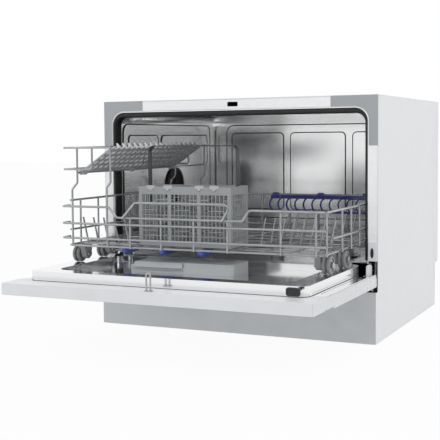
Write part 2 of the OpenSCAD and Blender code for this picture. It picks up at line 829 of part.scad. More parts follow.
// Floor of the rack: a loop inside the walls, with wires both ways
module rack_floor() {
    hx = rack_hw - 1 - weld - post_d / 2 - rail_d / 2 - gap;
    y0 = rack_y0 + weld + post_d / 2 + rail_d / 2 + gap;
    y1 = rack_y1 - weld - post_d / 2 - rail_d / 2 - gap;
    inset = rail_d / 2 + gap;
    rack_wires() {
        for (s = [-1, 1]) rail([[s * gap, y0, floor_z], [s * hx, y0, floor_z], [s * hx, y1, floor_z],
            [s * gap, y1, floor_z]], rail_d, 12);
        for (x = floor_xs) wire([x, y0 + inset, floor_z], [x, y1 - inset, floor_z], floor_d);
        for (y = floor_ys)
            wire([inset - hx, y, floor_z - floor_d - gap], [hx - inset, y, floor_z - floor_d - gap], floor_d);
    }
}

tine_d = 3.2;
tine_xs = [for (i = [0 : 7]) 94 + 18 * i];
tine_rows = [-96, 20];
tine_top = 226;
left_tine_xs = [for (i = [0 : 4]) -206 + 21 * i];
left_tine_y = -176;

// Row of plate tines on a wire that lies on the floor
module tine_row(xs, y, lean) {
    base = floor_z + floor_d / 2 + tine_d / 2 + gap;
    last = xs[len(xs) - 1];
    rack_wires() {
        wire([xs[0] - 6, y, base], [last + 5, y, base], tine_d);
        for (x = xs) wire([x, y, base + tine_d / 2 + 0.4], [x + lean, y, tine_top], tine_d);
    }
}

module plate_tines_front() { tine_row(tine_xs, tine_rows[0], 9); }

module plate_tines_rear() { tine_row(tine_xs, tine_rows[1], 9); }

module plate_tines_left() { tine_row(left_tine_xs, left_tine_y, -10); }

// Wire frames at the front and back that carry the cup shelf and its hinge rod
module shelf_support() {
    foot = floor_z + rail_d / 2 + 0.1;
    y0 = rack_y0 + weld + gap;
    y1 = rack_y1 - 9;
    bar = post_d + gap;
    end = bar - post_d / 2 - gap;
    rack_wires() {
        for (y = [y0, y1]) {
            rail([[-227, y, foot], [-227, y, 276], [shelf_x, y, 288], [shelf_x, y, 350]], post_d, 5);
            rail([[-156, y, foot], [-156, y, 280], [-148, y, 289], [-148, y, 350]], post_d, 5);
            wire([-241, y - bar, 350], [-144, y - bar, 350], post_d);
            rail([[-241, y - bar, 312], [-183, y - bar, 312], [-183, y - bar, 350 - bar / 2 - 0.1]], post_d, 5);
        }
        for (z = [312, 350]) wire([-241, y0 - end, z], [-241, y1 - bar - post_d / 2 - gap, z], post_d);
        bar_y(y0 + bar / 2 + gap, y1 - bar / 2 - gap, shelf_x, shelf_z, rod_d);
    }
}

// Clips that hang the wheels from the outer floor wires, bored for wire and axle
module wheel_brackets() {
    color([0.5, 0.51, 0.53]) placed() mirrored() for (y = wheel_ys) difference() {
        union() {
            along_x(217, 227) polygon([[y - 13, floor_z + 2.6], [y - 13, floor_z - 5], [y - 9, axle_z - 1],
                [y + 9, axle_z - 1], [y + 13, floor_z - 5], [y + 13, floor_z + 2.6]]);
            bar_x(217, 227, y, axle_z, 18);
        }
        bar_x(210, 230, y, axle_z, axle_d + 2 * fit);
        bar_y(y - 20, y + 20, 222, floor_z, floor_d + 2 * fit);
        block([221, y - 20, floor_z], [223, y + 20, floor_z + 4]);
    }
}

module axle(y) {
    bar_x(215, 243.6, y, axle_z, axle_d);
    bar_x(213.2, 215 + eps, y, axle_z, axle_d + 4);
    bar_x(243.6 - eps, 245.2, y, axle_z, axle_d + 4);
}

module rack_axles() { color([0.7, 0.71, 0.72]) placed() mirrored() for (i = [1, 2]) axle(wheel_ys[i]); }

module front_axles() { color([0.7, 0.71, 0.72]) placed() mirrored() axle(wheel_ys[0]); }

// Twin tyred wheel on its axle
module wheel(x, y) {
    r = wheel_d / 2;
    translate([x - wheel_w / 2, y, axle_z]) rotate([0, 90, 0]) difference() {
        rotate_extrude($fn = 64) polygon([[axle_d / 2 + fit, 0], [r - 1.4, 0], [r, 1.4], [r, 4.2], [r - 1.2, 5.4],
            [r - 4, 5.4], [r - 4, 8.6], [r - 1.2, 8.6], [r, 9.8], [r, 12.6], [r - 1.4, 14], [axle_d / 2 + fit, 14]]);
        for (z = [-1, 12.6]) translate([0, 0, z]) difference() {
            cylinder(h = 2.4, r = r - 3.6, $fn = 48);
            cylinder(h = 3, r = 5.4, $fn = 32);
        }
    }
}

module wheel_pair(i) {
    color([0.62, 0.63, 0.65]) placed() for (s = [-1, 1]) wheel(s * wheel_x, wheel_ys[i]);
}

module wheels_front() { wheel_pair(0); }

module wheels_middle() { wheel_pair(1); }

module wheels_rear() { wheel_pair(2); }

support_xs = [-141, -66, 9];

// Blue soft supports clipped under the front of the floor
module floor_supports() {
    color([0.18, 0.25, 0.7]) placed() for (x = support_xs) translate([x, -165, floor_z - 11.6])
        along_x(-7, 7) polygon([[0, 3], [6, 0], [26, 0], [30, 2], [62, 2], [62, 7], [0, 7]]);
}

// Blue glass holder hanging from the back rail, with a row of bowed fingers
module glass_holder() {
    y = rack_y1;
    z = rail_up + 4;
    color([0.16, 0.18, 0.5]) placed() {
        difference() {
            union() {
                block([0, y - 8.4, z - 8], [206, y - 3.4, z - 1]);
                for (x = [2, 98, 190]) {
                    bar_x(x, x + 12, y, z, 8.6);
                    block([x, y - 6, z - 4], [x + 12, y - 1, z - 1.5]);
                }
            }
            bar_x(-2, 210, y, z, rail_d + 2 * fit);
        }
        block([0, y - 10.2, z - 36], [206, y - 6.2, z - 31]);
        for (i = [0 : 10]) translate([12 + i * 18, y - 10.2, z - 19.5]) rotate([90, 0, 0]) mirror([0, 0, 1])
            intersection() {
                difference() {
                    cylinder(h = 3.4, r = 15.5, $fn = 48);
                    translate([0, 0, -1]) cylinder(h = 6, r = 12.8, $fn = 48);
                }
                translate([-16, -13.5, -1]) cube([14, 27, 6]);
            }
    }
}

// Slotted cup shelf with a toothed edge, hinged on its rod
module cup_shelf() {
    length = shelf_y1 - shelf_y0;
    teeth = 20;
    pitch = length / teeth;
    color([0.6, 0.61, 0.62]) placed() translate([shelf_x, shelf_y0, shelf_z]) rotate([0, -shelf_tilt, 0]) {
        translate([4.6, 0, -1.2]) linear_extrude(2.4) difference() {
            union() {
                square([shelf_w - 6, length]);
                for (i = [0 : teeth - 1]) translate([shelf_w - 6, i * pitch])
                    polygon([[-1, 1], [7, pitch / 2], [-1, pitch - 1]]);
            }
            for (i = [0 : teeth - 1], k = [0 : 3]) translate([7 + k * 15.4, i * pitch + 3])
                polygon([[0, pitch / 2 - 3], [6, 0], [12, pitch / 2 - 3], [6, pitch - 6]]);
        }
        difference() {
            union() {
                for (y = [2, length / 2 - 8, length - 18]) {
                    bar_y(y, y + 16, 0, 0, 9);
                    block([1, y, -1.2], [6, y + 16, 1.2]);
                }
            }
            bar_y(-2, length + 2, 0, 0, rod_d + 2 * fit);
        }
    }
}

// One wall of the cutlery basket: a solid rim and foot with a lattice between
module lattice(w, h, columns, rows) {
    rim = 14;
    foot = 8;
    side = 7;
    bar = 2.6;
    cell_w = (w - 2 * side + bar) / columns;
    cell_h = (h - rim - foot + bar) / rows;
    difference() {
        square([w, h]);
        for (i = [0 : columns - 1], k = [0 : rows - 1])
            translate([side + i * cell_w, foot + k * cell_h]) square([cell_w - bar, cell_h - bar]);
    }
}

// Cutlery basket: lattice walls, partitions and a floor that clip together, and a bail handle
// held inside the end walls
module cutlery_basket() {
    t = basket_wall;
    inset = t + gap;
    strap = 4;
    strap_y = [basket_d / 2 - 5, basket_d / 2 + 5];
    color([0.68, 0.7, 0.71]) placed() translate([basket_x, basket_y, basket_z]) {
        for (y = [0, basket_d - t]) along_y(y, y + t) lattice(basket_w, basket_h, 16, 7);
        for (x = [0, basket_w / 3, basket_w * 2 / 3, basket_w - t]) along_x(x, x + t)
            translate([inset, inset]) lattice(basket_d - 2 * inset, basket_h - inset, 6, 7);
        translate([0, inset]) linear_extrude(t) difference() {
            square([basket_w, basket_d - 2 * inset]);
            for (i = [0 : 10], k = [0 : 4])
                translate([9 + i * 14.8, 4 + k * 13]) square([10, 8.6]);
        }
        along_y(strap_y[0], strap_y[1]) difference() {
            rounded([inset, 60], [basket_w - inset, 170], 12);
            rounded([inset + strap, 40], [basket_w - inset - strap, 170 - strap], 8);
            square_xz([0, 50], [basket_w, 75]);
        }
    }
}

// ---------------------------------------------------------------- assembly

side_panel_left();
side_panel_right();
top_panel();
rear_cover();
base_tray();
kick_plate();
feet();
front_frame();
corner_brackets();
tub();
tub_gasket();
latch_housing();
breather_cap();
sump();
filter();
spray_hub();
spray_arm();
wash_pump();
drain_pump();
inlet_valve();
rear_connectors();
door_springs();
balance_pulleys();
hinge_brackets();
hinge_covers();
door_panel();
door_side_rails();
control_fascia();
fascia_end_caps();
door_liner();
striker();
dispenser_body();
detergent_lid();
rinse_cap();
vent_plug();
hinge_arms();
display_window();
power_button();
program_button();
delay_button();
start_button();
rack_front();
rack_back();
rack_left();
rack_right();
rack_floor();
plate_tines_front();
plate_tines_rear();
plate_tines_left();
shelf_support();
wheel_brackets();
rack_axles();
front_axles();
wheels_front();
wheels_middle();
wheels_rear();
floor_supports();
glass_holder();
cup_shelf();
cutlery_basket();
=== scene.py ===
"""Countertop dishwasher with its door open and its rack rolled out, in metres."""
import math

import bmesh
import bpy
from mathutils import Matrix, Vector


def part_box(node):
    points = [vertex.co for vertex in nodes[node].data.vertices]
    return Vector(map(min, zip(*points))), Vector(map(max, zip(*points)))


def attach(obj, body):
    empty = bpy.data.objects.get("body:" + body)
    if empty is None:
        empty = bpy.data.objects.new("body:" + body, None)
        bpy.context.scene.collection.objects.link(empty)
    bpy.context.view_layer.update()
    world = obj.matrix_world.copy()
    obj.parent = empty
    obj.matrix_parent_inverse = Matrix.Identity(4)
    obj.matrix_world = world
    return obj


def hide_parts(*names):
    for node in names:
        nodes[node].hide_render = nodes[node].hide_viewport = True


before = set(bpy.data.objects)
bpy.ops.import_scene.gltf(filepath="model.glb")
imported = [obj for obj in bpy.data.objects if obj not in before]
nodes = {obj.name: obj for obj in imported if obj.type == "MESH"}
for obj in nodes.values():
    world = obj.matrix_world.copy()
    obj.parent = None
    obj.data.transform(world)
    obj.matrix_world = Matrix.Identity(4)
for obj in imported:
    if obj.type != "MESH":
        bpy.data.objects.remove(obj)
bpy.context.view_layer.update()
scene = bpy.context.scene
MM = 0.001

# ---------------------------------------------------------------- camera

FRONT = -0.068  # the plane of the front frame
CAMERA_AT = Vector((0.7429, -1.7004 + FRONT, 0.3638))
YAW, PITCH, ROLL = math.radians(25.953), math.radians(-3.520), math.radians(-0.528)
LENS = 81.845
SHIFT = (0.0637, -0.0445)


def make_camera():
    """The photograph's view: from the right of the front, almost level."""
    ahead = Vector((-math.sin(YAW) * math.cos(PITCH), math.cos(YAW) * math.cos(PITCH), math.sin(PITCH)))
    right = ahead.cross(Vector((0, 0, 1))).normalized()
    up = right.cross(ahead)
    side = right * math.cos(ROLL) + up * math.sin(ROLL)
    top = up * math.cos(ROLL) - right * math.sin(ROLL)
    data = bpy.data.cameras.new("camera")
    data.lens = LENS
    data.shift_x, data.shift_y = SHIFT
    camera = bpy.data.objects.new("camera", data)
    turn = Matrix((side, top, -ahead)).transposed()
    camera.matrix_world = Matrix.Translation(CAMERA_AT) @ turn.to_4x4()
    scene.collection.objects.link(camera)
    scene.camera = camera


make_camera()

# ---------------------------------------------------------------- materials


class Shader:
    """A node material, built up call by call."""

    def __init__(self, name, color, roughness, metallic=0.0, **sockets):
        self.material = bpy.data.materials.new(name)
        self.material.use_nodes = True
        self.tree = self.material.node_tree
        self.bsdf = self.tree.nodes["Principled BSDF"]
        self.bsdf.inputs["Base Color"].default_value = (*color, 1)
        self.bsdf.inputs["Roughness"].default_value = roughness
        self.bsdf.inputs["Metallic"].default_value = metallic
        for socket, value in sockets.items():
            self.bsdf.inputs[socket.replace("_", " ")].default_value = value
        self.color = color
        self.roughness = roughness
        self.normal = None

    def add(self, kind, **inputs):
        node = self.tree.nodes.new(kind)
        for key, value in inputs.items():
            socket = node.inputs[key.replace("_", " ")]
            if isinstance(value, bpy.types.NodeSocket):
                self.tree.links.new(value, socket)
            else:
                socket.default_value = value
        return node

    def grain(self, scale, stretch=(1, 1, 1), detail=4):
        """Noise in object space, stretched along one axis for brushed metal."""
        where = self.tree.nodes.new("ShaderNodeTexCoord")
        mapping = self.add("ShaderNodeMapping", Vector=where.outputs["Object"], Scale=stretch)
        noise = self.add("ShaderNodeTexNoise", Vector=mapping.outputs["Vector"], Scale=scale, Detail=detail)
        return noise.outputs["Fac"]

    def spread(self, source, low, high):
        node = self.add("ShaderNodeMapRange", Value=source, To_Min=low, To_Max=high)
        node.inputs["From Min"].default_value = 0.3
        node.inputs["From Max"].default_value = 0.7
        return node.outputs["Result"]

    def vary_color(self, source, amount):
        """Lightens and darkens the colour by amount."""
        ramp = self.tree.nodes.new("ShaderNodeValToRGB")
        self.tree.links.new(source, ramp.inputs["Fac"])
        for element, factor, place in zip(ramp.color_ramp.elements, (1 - amount, 1 + amount), (0.35, 0.65)):
            element.position = place
            element.color = (*(min(1, c * factor) for c in self.color), 1)
        self.tree.links.new(ramp.outputs["Color"], self.bsdf.inputs["Base Color"])
        return self

    def vary_roughness(self, source, amount):
        value = self.spread(source, self.roughness - amount, self.roughness + amount)
        self.tree.links.new(value, self.bsdf.inputs["Roughness"])
        return self

    def bump(self, source, height, strength=0.5):
        node = self.add("ShaderNodeBump", Height=source, Distance=height, Strength=strength)
        if self.normal:
            self.tree.links.new(self.normal, node.inputs["Normal"])
        self.normal = node.outputs["Normal"]
        self.tree.links.new(self.normal, self.bsdf.inputs["Normal"])
        return self


def paint(name, color, roughness=0.35, metallic=0.0):
    """Powder coat: fine orange peel and faint clouding."""
    s = Shader(name, color, roughness, metallic, Coat_Weight=0.15, Coat_Roughness=0.2)
    s.vary_color(s.grain(9), 0.005)
    s.vary_roughness(s.grain(40), 0.05)
    return s.bump(s.grain(1400, detail=1), 0.00003, 0.25).material


def plastic(name, color, roughness=0.45, peel=0.00003, **sockets):
    """Moulded plastic with a spark-eroded texture."""
    s = Shader(name, color, roughness, **sockets)
    s.vary_color(s.grain(14), 0.02)
    s.vary_roughness(s.grain(60), 0.06)
    return s.bump(s.grain(2200, detail=2), peel, 0.3).material


def brushed(name, color, roughness, stretch, bump=0.000004):
    """Stainless steel, brushed along the axis that stretch leaves small."""
    s = Shader(name, color, roughness, 1.0)
    lines = s.grain(60, stretch, detail=6)
    s.vary_color(s.grain(3), 0.015)
    s.vary_roughness(lines, 0.04)
    return s.bump(lines, bump, 0.2).material


def coated_wire(name, color):
    """Wire with a thick satin nylon coat that pools unevenly."""
    s = Shader(name, color, 0.15, 0.7, Coat_Weight=0.3, Coat_Roughness=0.1)
    s.vary_color(s.grain(50), 0.08)
    return s.bump(s.grain(260, detail=2), 0.00004, 0.3).material


MATERIALS = {
    "white_paint": paint("white_paint", (0.8, 0.805, 0.815)),
    "bright_paint": paint("bright_paint", (0.92, 0.925, 0.93), 0.3),
    "bracket_grey": paint("bracket_grey", (0.37, 0.385, 0.4), 0.4),
    "plinth_grey": paint("plinth_grey", (0.48, 0.495, 0.51), 0.4, 0.85),
    "door_paint": paint("door_paint", (0.72, 0.725, 0.735), 0.3),
    "door_plastic": plastic("door_plastic", (0.75, 0.755, 0.765), 0.35),
    "tub_steel": brushed("tub_steel", (0.95, 0.955, 0.96), 0.18, (1, 1, 30), 0.0000012),
    "liner_steel": brushed("liner_steel", (0.84, 0.845, 0.85), 0.12, (1, 30, 30)),
    # painted shade: near-black steel for the lines where the tub's pressed panels turn dark
    "press_shade_steel": brushed("press_shade_steel", (0.07, 0.071, 0.073), 0.3, (4, 4, 4)),
    "plain_steel": brushed("plain_steel", (0.45, 0.46, 0.47), 0.3, (20, 20, 1)),
    "wire": coated_wire("wire", (0.36, 0.37, 0.375)),
    "black_rubber": plastic("black_rubber", (0.012, 0.012, 0.013), 0.6),
    # real dark plastic, and also the painted shade of the hinge holes, flange slots and the liner's foot
    "dark_plastic": plastic("dark_plastic", (0.025, 0.025, 0.028), 0.45),
    "grey_plastic": plastic("grey_plastic", (0.25, 0.265, 0.275), 0.4),
    "dispenser_grey": plastic("dispenser_grey", (0.46, 0.478, 0.486), 0.4),
    "shelf_grey": plastic("shelf_grey", (0.46, 0.47, 0.475), 0.3),
    "fin_grey": plastic("fin_grey", (0.62, 0.625, 0.63), 0.25),
    "bail_grey": plastic("bail_grey", (0.05, 0.052, 0.055), 0.16),
    "basket_grey": plastic("basket_grey", (0.32, 0.33, 0.335), 0.34),
    "wheel_grey": plastic("wheel_grey", (0.2, 0.207, 0.215), 0.3, Coat_Weight=0.3),
    "white_plastic": plastic("white_plastic", (0.8, 0.81, 0.82), 0.4),
    "deep_blue": plastic("deep_blue", (0.02, 0.025, 0.2), 0.22, Coat_Weight=0.5),
    "bright_blue": plastic("bright_blue", (0.05, 0.09, 0.5), 0.2, Coat_Weight=0.6),
    "black_gloss": plastic("black_gloss", (0.008, 0.008, 0.01), 0.08, peel=0.00001),
}

FINISH = {
    "white_paint": ["side_panel_left", "side_panel_right", "top_panel"],
    "bright_paint": ["front_frame"],
    "bracket_grey": ["corner_brackets"],
    "plinth_grey": ["kick_plate"],
    "white_plastic": ["rear_cover", "hinge_covers", "inlet_valve", "rear_connectors", "balance_pulleys",
                      "hinge_arms"],
    "dark_plastic": ["base_tray", "latch_housing", "breather_cap", "wash_pump", "drain_pump", "vent_plug"],
    "black_rubber": ["feet", "tub_gasket"],
    "tub_steel": ["tub"],
    "liner_steel": ["door_liner"],
    "plain_steel": ["hinge_brackets", "door_springs", "filter", "rack_axles", "front_axles", "striker"],
    "grey_plastic": ["sump", "spray_hub", "spray_arm", "wheel_brackets"],
    "dispenser_grey": ["dispenser_body", "detergent_lid", "rinse_cap"],
    "shelf_grey": ["cup_shelf"],
    "basket_grey": ["cutlery_basket"],
    "wheel_grey": ["wheels_front", "wheels_middle", "wheels_rear"],
    "door_paint": ["door_panel", "door_side_rails"],
    "door_plastic": ["control_fascia", "fascia_end_caps", "power_button", "program_button", "delay_button",
                     "start_button"],
    "wire": ["rack_front", "rack_back", "rack_left", "rack_right", "rack_floor", "plate_tines_front",
             "plate_tines_rear", "plate_tines_left", "shelf_support"],
    "deep_blue": ["glass_holder"],
    "bright_blue": ["floor_supports"],
    "black_gloss": ["display_window"],
}

for finish, names in FINISH.items():
    for name in names:
        for slot in nodes[name].material_slots:
            slot.material = MATERIALS[finish]

# ---------------------------------------------------------------- edges

SHARP_ANGLE = math.radians(35)
FLAT_ANGLE = math.radians(1)
WELD_REACH = 0.01 * MM
EDGES = {  # the bevel's width in millimetres, and the CAD pieces that get it
    0.3: ["side_panel_left", "side_panel_right", "front_frame", "corner_brackets", "hinge_covers",
          "top_panel", "door_side_rails", "door_panel", "display_window"],
    0.8: ["rear_cover", "kick_plate", "control_fascia", "fascia_end_caps", "dispenser_body",
          "detergent_lid", "rinse_cap", "breather_cap", "vent_plug", "glass_holder", "wheel_brackets",
          "base_tray", "latch_housing"],
    0.9: ["tub"],
    1.1: ["door_liner"],
    0.5: ["cup_shelf"],
}


def rounded_edges(o, width, segments=2):
    """Bevels the sharp edges to a width in millimetres."""
    edge = o.modifiers.new("edge", "BEVEL")
    edge.width = width * MM
    edge.segments = segments
    edge.limit_method = "ANGLE"
    edge.angle_limit = SHARP_ANGLE
    edge.harden_normals = True


def soften(o, width):
    """Rounds a CAD piece's sharp edges, as folding or moulding leaves them."""
    weld = o.modifiers.new("weld", "WELD")
    weld.merge_threshold = WELD_REACH
    flat = o.modifiers.new("flat", "DECIMATE")
    flat.decimate_type = "DISSOLVE"
    flat.angle_limit = FLAT_ANGLE
    rounded_edges(o, width, 3)


for width, names in EDGES.items():
    for name in names:
        soften(nodes[name], width)

# ---------------------------------------------------------------- pieces

MID_Y = 68  # CAD places, in millimetres from the plane of the front frame, move back by this


def at(x, y, z):
    """A place in millimetres from the front frame's plane, in the row frame."""
    return Vector((x, y - MID_Y, z)) * MM


def piece(name, parts, material, body, replaces=()):
    """A mesh piece that rides on a body, in the given material, and hides the CAD nodes it replaces."""
    mesh = bpy.data.meshes.new(name)
    mesh.from_pydata([at(*place) for place in parts.places], [], parts.faces)
    mesh.validate()
    shape = bmesh.new()
    shape.from_mesh(mesh)
    bmesh.ops.recalc_face_normals(shape, faces=shape.faces)
    shape.to_mesh(mesh)
    shape.free()
    mesh.materials.append(MATERIALS[material])
    o = bpy.data.objects.new(name, mesh)
    scene.collection.objects.link(o)
    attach(o, body)
    if replaces:
        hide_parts(*replaces)
    return o


def smooth(o):
    for face in o.data.polygons:
        face.use_smooth = True


class Parts:
    """Collects the places and faces of several closed shapes for one mesh."""

    def __init__(self):
        self.places = []
        self.faces = []

    def take(self, places, faces):
        first = len(self.places)
        self.places += [tuple(p) for p in places]
        self.faces += [tuple(first + i for i in face) for face in faces]

    def block(self, low, high):
        """A box between two opposite corners."""
        xs, ys, zs = zip(low, high)
        corners = [(x, y, z) for z in zs for y in ys for x in xs]
        self.take(corners, [(0, 2, 3, 1), (4, 5, 7, 6), (0, 1, 5, 4),
                            (2, 6, 7, 3), (0, 4, 6, 2), (1, 3, 7, 5)])

    def sweep(self, sections):
        """Closed tube through rings of places with the same count, capped at both ends."""
        sides = len(sections[0])
        places = [p for section in sections for p in section]
        faces = []
        for i in range(len(sections) - 1):
            for k in range(sides):
                a, b = i * sides + k, i * sides + (k + 1) % sides
                faces.append((a, b, b + sides, a + sides))
        faces.append(tuple(range(sides - 1, -1, -1)))
        last = (len(sections) - 1) * sides
        faces.append(tuple(last + k for k in range(sides)))
        self.take(places, faces)

    def pierced(self, us, vs, solid, thick, place):
        """Plate on a grid of breaks us and vs, with a hole wherever solid(i, k) is false."""
        index = {}
        places = []

        def corner(i, k, side):
            key = (i, k, side)
            if key not in index:
                index[key] = len(places)
                places.append(place(us[i], vs[k], thick * side))
            return index[key]

        faces = []
        count_u, count_v = len(us) - 1, len(vs) - 1

        def filled(i, k):
            return 0 <= i < count_u and 0 <= k < count_v and solid(i, k)

        for i in range(count_u):
            for k in range(count_v):
                if not filled(i, k):
                    continue
                faces.append(tuple(corner(i + a, k + b, 0) for a, b in ((0, 0), (0, 1), (1, 1), (1, 0))))
                faces.append(tuple(corner(i + a, k + b, 1) for a, b in ((0, 0), (1, 0), (1, 1), (0, 1))))
                edges = (((-1, 0), (0, 0), (0, 1)), ((1, 0), (1, 1), (1, 0)), ((0, -1), (1, 0), (0, 0)),
                         ((0, 1), (0, 1), (1, 1)))
                for (di, dk), a, b in edges:
                    if not filled(i + di, k + dk):
                        faces.append((corner(i + a[0], k + a[1], 0), corner(i + b[0], k + b[1], 0),
                                      corner(i + b[0], k + b[1], 1), corner(i + a[0], k + a[1], 1)))
        self.take(places, faces)


OPENING_HW, OPENING_TOP, OPENING_R = 255.6, 415.6, 24
SEAL_FROM, SEAL_DEPTH = 1.5, 27
SEAL_SIDE, SEAL_HEAD = 5.0, 9.5
SEAL_FOOT = 148
STRIP_FRONT, STRIP_BACK, STRIP_TOP = 14.6, 16.9, 117


def seal_path():
    """Points round the opening with the inward direction and the seal's height, left foot to right foot."""
    steps = 14
    path = [(-OPENING_HW, z, 1, 0, SEAL_SIDE) for z in (SEAL_FOOT, 240, 330)]
    for side in (-1, 1):
        turns = range(steps + 1) if side < 0 else range(steps, -1, -1)
        for k in turns:
            a = math.pi / 2 * k / steps
            height = SEAL_SIDE + (SEAL_HEAD - SEAL_SIDE) * k / steps
            path.append((side * (OPENING_HW - OPENING_R + OPENING_R * math.cos(a)),
                         OPENING_TOP - OPENING_R + OPENING_R * math.sin(a),
                         -side * math.cos(a), -math.sin(a), height))
        if side < 0:
            path += [(x, OPENING_TOP, 0, -1, SEAL_HEAD) for x in (-140, 0, 140)]
    path += [(OPENING_HW, z, -1, 0, SEAL_SIDE) for z in (330, 240, SEAL_FOOT)]
    return path


def tub_seal():
    """Rubber seal with two lips round the opening, and the strip on the floor's front lip."""
    lips = [(0, 0), (0.62, 0), (0.9, 0.05), (1, 0.14), (0.98, 0.26), (0.7, 0.36), (0.55, 0.46),
            (0.62, 0.58), (0.85, 0.68), (0.9, 0.82), (0.74, 0.95), (0.5, 1), (0, 1)]
    parts = Parts()
    parts.sweep([[(x + nx * height * u, SEAL_FROM + SEAL_DEPTH * v, z + nz * height * u) for u, v in lips]
                 for x, z, nx, nz, height in seal_path()])
    low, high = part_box("tub_gasket")
    parts.block((low.x / MM, STRIP_FRONT, low.z / MM), (high.x / MM, STRIP_BACK, STRIP_TOP))
    smooth(piece("tub_seal", parts, "black_rubber", "cabinet", ["tub_gasket"]))


BASKET_WALL = 2.0
BASKET_RIM, BASKET_FOOT, BASKET_POST = 14.0, 9.0, 7.0
BASKET_TALL = 104.0
BASKET_GAP = 0.1
WINDOW_BAR = 1.5
WINDOW_ROWS = 9
CLIP_XS = (24, 58, 118, 146)


def lattice(parts, width, height, sections, columns, place, seed):
    """Basket wall: a rim, a foot and posts, with uneven rows of small windows between them."""
    bar = WINDOW_BAR
    room = (width - BASKET_POST * (sections + 1)) / sections
    hole = (room - bar * (columns - 1)) / columns
    us = {0.0, width}
    windows = []
    for n in range(sections):
        left = BASKET_POST + n * (room + BASKET_POST)
        for c in range(columns):
            windows.append((left + c * (hole + bar), left + c * (hole + bar) + hole))
            us.update(windows[-1])
    step = (height - BASKET_RIM - BASKET_FOOT) / WINDOW_ROWS
    lines = [BASKET_FOOT + k * step for k in range(1, WINDOW_ROWS)]
    vs = {0.0, BASKET_FOOT, height - BASKET_RIM, height}
    for z in lines:
        vs.update((z - bar / 2, z + bar / 2))
    us, vs = sorted(us), sorted(vs)

    def solid(i, k):
        u, v = (us[i] + us[i + 1]) / 2, (vs[k] + vs[k + 1]) / 2
        column = next((c for c, (a, b) in enumerate(windows) if a < u < b), None)
        if column is None or v < BASKET_FOOT or v > height - BASKET_RIM:
            return True
        line = next((n for n, z in enumerate(lines) if abs(v - z) < bar / 2), None)
        if line is None:
            return False
        return line in (0, 4) or (line * 5 + (column + seed) // 2 * 3) % 4 < 2

    parts.pierced(us, vs, solid, BASKET_WALL, place)


def grid(end, count, first, pitch, hole):
    """Breaks for a row of holes, from 0 to end."""
    starts = [first + i * pitch for i in range(count)]
    return sorted({0.0, end, *starts, *(start + hole for start in starts)})


def cutlery_basket():
    """Lattice basket with two partitions and a pierced floor, clips on its rim and a bail handle."""
    low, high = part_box("cutlery_basket")
    x0, x1 = low.x / MM, high.x / MM
    y0, y1 = low.y / MM + MID_Y, high.y / MM + MID_Y
    z0, rim = low.z / MM, low.z / MM + BASKET_TALL
    wall, step_in = BASKET_WALL, BASKET_WALL + BASKET_GAP
    width = x1 - x0
    inner = y1 - y0 - 2 * step_in
    parts = Parts()
    lattice(parts, width, BASKET_TALL, 3, 7, lambda u, v, w: (x0 + u, y0 + w, z0 + v), 0)
    lattice(parts, width, BASKET_TALL, 3, 4, lambda u, v, w: (x0 + u, y1 - wall + w, z0 + v), 3)
    for n in range(4):
        x = x0 + n / 3 * (width - wall)
        columns = 8 if n in (0, 3) else 4
        lattice(parts, inner, BASKET_TALL, 1, columns,
                lambda u, v, w, x=x: (x + w, y0 + step_in + u, z0 + v), n)
    parts.pierced(grid(width - 2 * step_in, 14, 6, 11.9, 8), grid(inner, 6, 4, 11.2, 7),
                  lambda i, k: i % 2 == 0 or k % 2 == 0, wall,
                  lambda u, v, w: (x0 + step_in + u, y0 + step_in + v, z0 + w))
    shell = piece("cutlery_basket_shell", parts, "basket_grey", "cutlery_basket",
                  ["cutlery_basket"])
    rounded_edges(shell, 0.25, 1)
    clips = Parts()
    for x in (x0 + dx for dx in CLIP_XS):
        clips.block((x - 8, y0 - 1.4, rim - 4), (x + 8, y0 + 3.2, rim + 1.8))
        clips.block((x - 3, y0 - 2.2, rim - 7), (x + 3, y0 + 1, rim - 3))
    clips = piece("basket_clips", clips, "dispenser_grey", "cutlery_basket")
    rounded_edges(clips, 0.8, 3)
    basket_bail(x0 + 2.3, x1 - 2.3, rim - 30, high.z / MM + 5, (y0 + y1) / 2)


def basket_bail(left, right, foot, top, middle):
    """Flat strap from one end wall over to the other, with a raised rib along each edge."""
    radius, strip, rail = 11, 2, 6.2
    half = [(left, foot, 1, 0), (left, top - radius, 1, 0)]
    for k in range(1, 10):
        a = math.pi / 2 * k / 10
        cos, sin = math.cos(a), math.sin(a)
        half.append((left + radius - radius * cos, top - radius + radius * sin, cos, -sin))
    half.append((left + radius, top, 0, -1))
    outline = half + [(left + right - x, z, -nx, nz) for x, z, nx, nz in reversed(half)]
    section = [(0, -rail), (strip, -rail), (strip, -rail + 1.6), (strip * 0.55, -rail + 2.4),
               (strip * 0.55, rail - 2.4), (strip, rail - 1.6), (strip, rail), (0, rail)]
    parts = Parts()
    parts.sweep([[(x + nx * t, middle + w, z + nz * t) for t, w in section] for x, z, nx, nz in outline])
    rounded_edges(piece("basket_bail", parts, "bail_grey", "cutlery_basket"), 0.4)


SHELF_HINGE = (-216, 306)
SHELF_TILT = math.radians(34)
TOOTH_PITCH = 21.1
TOOTH_ROWS = (6, 21.4, 36.8, 52.2, 67.6)
SHELF_EDGE = (72, 75)


def on_shelf(u, y, w):
    """A place u along the shelf's slope, at depth y, and w above its face."""
    return (SHELF_HINGE[0] + u * math.cos(SHELF_TILT) - w * math.sin(SHELF_TILT), y,
            SHELF_HINGE[1] + u * math.sin(SHELF_TILT) + w * math.cos(SHELF_TILT))


